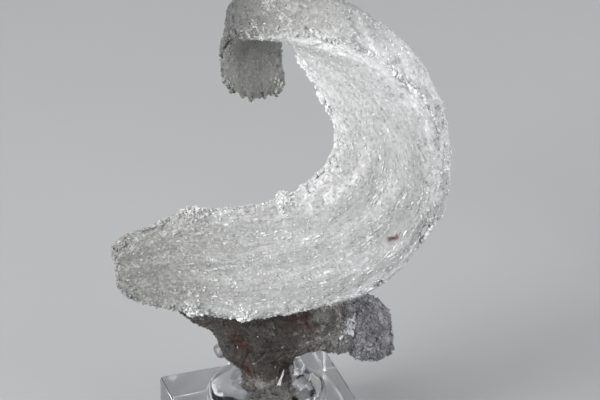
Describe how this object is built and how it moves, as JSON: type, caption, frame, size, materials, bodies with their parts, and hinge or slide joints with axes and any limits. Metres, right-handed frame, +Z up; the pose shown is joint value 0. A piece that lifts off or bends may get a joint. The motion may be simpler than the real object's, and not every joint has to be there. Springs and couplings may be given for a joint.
{
  "type": "selenite crystal",
  "caption": "Curled ram's horn selenite crystal with a side crystal, on a stained gypsum stem set in clear putty on a clear block.",
  "frame": {"origin": "middle of the acrylic block's underside", "axes": "+Z up; X and Y along the block's sides; the curl's open face looks towards -Y and -X"},
  "size_m": [0.0935, 0.0883, 0.1424],
  "materials": {
    "selenite": "translucent, sugary, fibrous",
    "side_selenite": "translucent, glassy facets",
    "stained_gypsum": "translucent brown-grey, rusty patches",
    "clear_putty": "clear, glossy",
    "clear_acrylic": "clear, polished"
  },
  "bodies": {
    "root": {"horn_crystal": "selenite", "side_crystal": "side_selenite", "matrix_stem": "stained_gypsum", "mounting_putty": "clear_putty", "acrylic_base": "clear_acrylic"}
  },
  "joints": []
}
